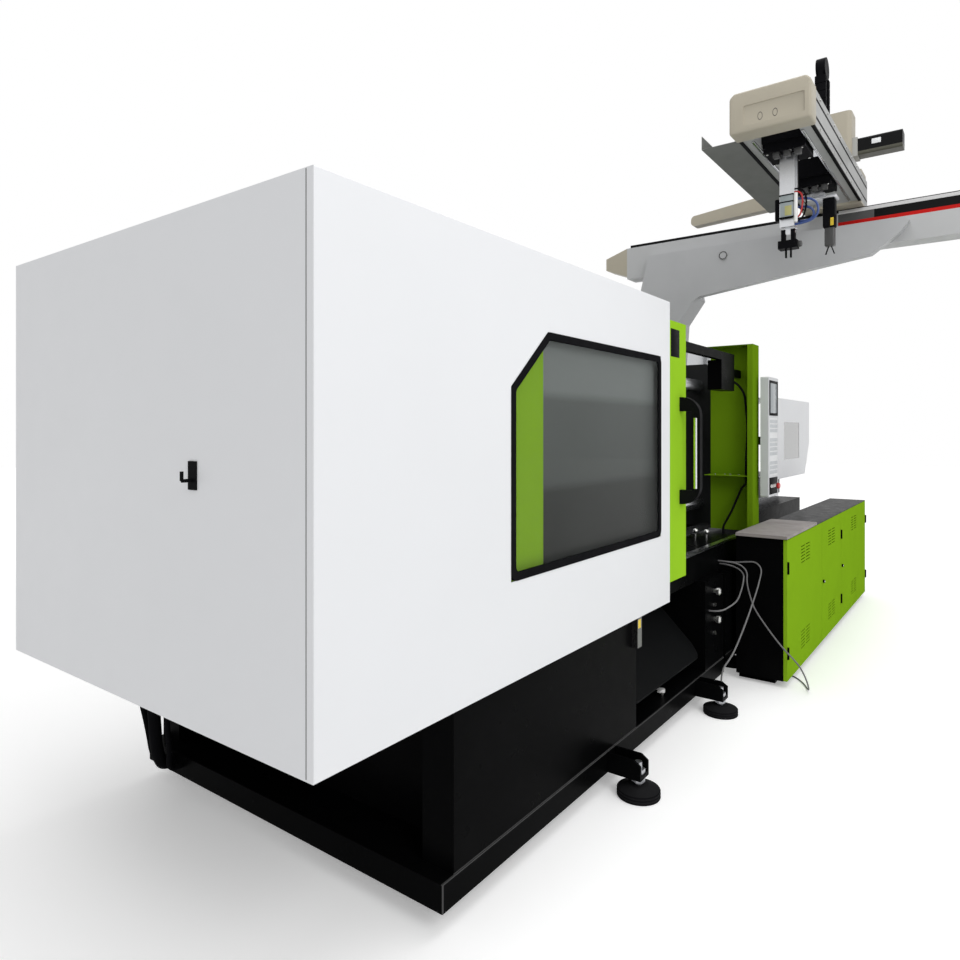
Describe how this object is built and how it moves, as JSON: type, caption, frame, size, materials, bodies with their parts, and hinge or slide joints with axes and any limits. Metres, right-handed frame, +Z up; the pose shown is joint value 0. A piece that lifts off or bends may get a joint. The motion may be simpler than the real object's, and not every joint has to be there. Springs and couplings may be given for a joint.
{
  "type": "injection moulding machine",
  "caption": "Horizontal injection moulding machine with white clamp housing, green sliding gates, slotted cabinet doors and an overhead take-out robot.",
  "frame": {"origin": "on the floor under the middle of the machine's overall box, without its cables", "axes": "+X along the machine towards the injection end, +Y away from the operator, +Z up"},
  "size_m": [6.539, 3.1368, 3.6299],
  "materials": {
    "black_paint": "satin",
    "ground_steel": "ground",
    "foot_black": "matt",
    "zinc_steel": "zinc plated",
    "nickel_brass": "nickel plated",
    "white_plastic": "gloss",
    "white_paint": "powder coat",
    "black_rubber": "matt",
    "tinted_glass": "tinted",
    "black_plastic": "satin",
    "dark_casting": "painted casting",
    "green_paint": "powder coat",
    "chrome_grip": "polished",
    "worn_board": "worn",
    "barrel_steel": "heat tinted",
    "mica_band": "dull",
    "brushed_hopper": "brushed",
    "panel_plastic": "satin",
    "red_plastic": "gloss",
    "robot_grey": "satin",
    "cream_paint": "satin",
    "anodised_bar": "anodised",
    "grey_cable": "satin"
  },
  "bodies": {
    "machine": {"bed_frame": "black_paint", "guide_ways": "ground_steel", "levelling_pads": "foot_black", "levelling_bolts": "zinc_steel", "drop_chute": "black_paint", "bed_fittings": "nickel_brass", "housing_front_cover": "white_paint", "housing_rear_cover": "white_paint", "housing_end_cover": "white_paint", "housing_roof": "white_paint", "window_seal": "black_rubber", "window_pane": "tinted_glass", "coat_hook": "black_plastic", "rear_platen": "dark_casting", "tie_bars": "ground_steel", "fixed_platen": "dark_casting", "gate_rails": "black_paint", "platen_guards": "green_paint", "injection_base": "black_paint", "electric_cabinet": "black_paint", "cabinet_board": "worn_board", "panel_arm": "black_paint", "robot_pedestal": "robot_grey", "robot_beam": "robot_grey", "hose_bundle": "black_rubber", "post_cable": "grey_cable", "foot_cable": "grey_cable", "floor_cable": "grey_cable"},
    "drain_lever": {"drain_lever": "white_plastic"},
    "front_gate": {"gate_frame": "green_paint", "gate_pane": "tinted_glass", "gate_handle": "black_plastic", "gate_grip": "chrome_grip"},
    "rear_gate": {"rear_gate_frame": "green_paint", "rear_gate_pane": "tinted_glass"},
    "moving_platen": {"moving_platen": "dark_casting", "clamp_ram": "ground_steel"},
    "ejector": {"ejector": "ground_steel"},
    "injection_unit": {"injection_carriage": "dark_casting", "barrel": "barrel_steel", "heater_bands": "mica_band", "hopper": "brushed_hopper", "shroud": "white_paint", "shroud_pane": "tinted_glass"},
    "screw_drive": {"screw_drive": "dark_casting"},
    "screw": {"screw": "ground_steel"},
    "operator_panel": {"operator_panel": "panel_plastic"},
    "stop_button": {"stop_button": "red_plastic"},
    "door_left": {"door_left": "green_paint"},
    "door_middle": {"door_middle": "green_paint"},
    "door_right": {"door_right": "green_paint"},
    "robot_head": {"robot_carriage": "cream_paint", "cross_beam": "robot_grey", "cross_beam_cap": "cream_paint", "cable_tray": "robot_grey"},
    "main_slide": {"main_slide": "dark_casting"},
    "main_arm": {"main_arm": "anodised_bar"},
    "sub_slide": {"sub_slide": "dark_casting"},
    "sub_arm": {"sub_arm": "anodised_bar"},
    "gripper": {"gripper": "black_plastic"}
  },
  "joints": [
    {"name": "drain_lever", "type": "hinge", "parent": "machine", "child": "drain_lever", "pos_m": [-0.9105, -0.2355, 0.185], "axis": [0, 0, 1], "range_deg": [0, 90]},
    {"name": "front_gate", "type": "slide", "parent": "machine", "child": "front_gate", "axis": [1, 0, 0], "range_m": [0, 1.1]},
    {"name": "rear_gate", "type": "slide", "parent": "machine", "child": "rear_gate", "axis": [-1, 0, 0], "range_m": [0, 1.1]},
    {"name": "clamp_stroke", "type": "slide", "parent": "machine", "child": "moving_platen", "axis": [1, 0, 0], "range_m": [0, 0.55]},
    {"name": "ejector_stroke", "type": "slide", "parent": "moving_platen", "child": "ejector", "axis": [1, 0, 0], "range_m": [0, 0.12]},
    {"name": "injection_unit", "type": "slide", "parent": "machine", "child": "injection_unit", "axis": [-1, 0, 0], "range_m": [0, 0.25]},
    {"name": "screw_stroke", "type": "slide", "parent": "injection_unit", "child": "screw_drive", "axis": [1, 0, 0], "range_m": [0, 0.2]},
    {"name": "screw_turn", "type": "hinge", "parent": "screw_drive", "child": "screw", "pos_m": [2.3695, 0.5315, 1.4], "axis": [1, 0, 0], "continuous": true},
    {"name": "panel_swing", "type": "hinge", "parent": "machine", "child": "operator_panel", "pos_m": [0.6945, -0.3335, 1.43], "axis": [0, 0, 1], "range_deg": [0, 90]},
    {"name": "stop_button", "type": "slide", "parent": "operator_panel", "child": "stop_button", "axis": [0, 1, 0], "range_m": [0, 0.006], "stiffness_N_per_m": 800, "springref_m": -0.004},
    {"name": "door_left", "type": "hinge", "parent": "machine", "child": "door_left", "pos_m": [0.0175, -0.6229, 0.45], "axis": [0, 0, -1], "range_deg": [0, 90]},
    {"name": "door_middle", "type": "hinge", "parent": "machine", "child": "door_middle", "pos_m": [1.6915, -0.6229, 0.45], "axis": [0, 0, 1], "range_deg": [0, 90]},
    {"name": "door_right", "type": "hinge", "parent": "machine", "child": "door_right", "pos_m": [2.8715, -0.6229, 0.45], "axis": [0, 0, 1], "range_deg": [0, 90]},
    {"name": "traverse", "type": "slide", "parent": "machine", "child": "robot_head", "axis": [0, 1, 0], "range_m": [-0.35, 1.3]},
    {"name": "main_kick", "type": "slide", "parent": "robot_head", "child": "main_slide", "axis": [1, 0, 0], "range_m": [0, 0.3]},
    {"name": "main_lift", "type": "slide", "parent": "main_slide", "child": "main_arm", "axis": [0, 0, 1], "range_m": [-0.4, 0]},
    {"name": "sub_kick", "type": "slide", "parent": "robot_head", "child": "sub_slide", "axis": [1, 0, 0], "range_m": [0, 0.2]},
    {"name": "sub_lift", "type": "slide", "parent": "sub_slide", "child": "sub_arm", "axis": [0, 0, 1], "range_m": [-0.5, 0]},
    {"name": "wrist_flip", "type": "hinge", "parent": "sub_arm", "child": "gripper", "pos_m": [-0.4005, -0.72, 2.539], "axis": [0, 1, 0], "range_deg": [0, 90]}
  ]
}
